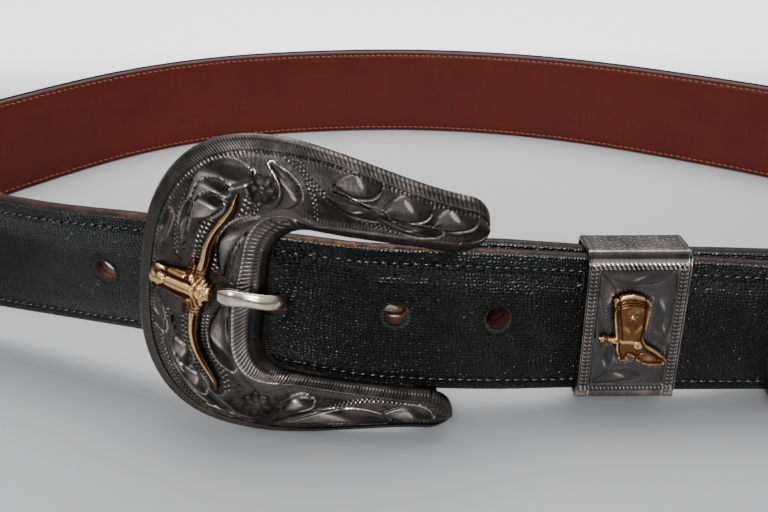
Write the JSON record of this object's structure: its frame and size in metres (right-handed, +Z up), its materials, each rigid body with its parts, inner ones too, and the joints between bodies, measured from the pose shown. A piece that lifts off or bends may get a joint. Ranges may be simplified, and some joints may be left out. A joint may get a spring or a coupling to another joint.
{
  "type": "lizard leather belt",
  "caption": "Western belt of black lizard leather over a russet lining, buckled into an oval loop that stands on its edge, with an engraved silver buckle, keeper band and end tip.",
  "frame": {"origin": "on the table, under the middle of the loop's box", "axes": "+Z up across the strap's width, X along the loop's long way, buckle and keeper towards -Y"},
  "size_m": [0.378, 0.2236, 0.0785],
  "materials": {
    "lizard_leather": "black lizard skin, fine scales, worn gloss",
    "russet_leather": "smooth russet lining leather, satin, lightly scuffed",
    "oxidised_silver": "engraved nickel silver, darkened in the ground, bright on the ridges",
    "polished_silver": "polished nickel silver",
    "aged_gold": "gilt bronze with dark recesses"
  },
  "bodies": {
    "root": {"lizard_strap": "lizard_leather", "strap_lining": "russet_leather", "buckle_frame": "oxidised_silver", "longhorn_head": "aged_gold", "prong": "polished_silver", "keeper_band": "oxidised_silver", "cowboy_boot": "aged_gold", "belt_tip": "oxidised_silver"}
  },
  "joints": []
}
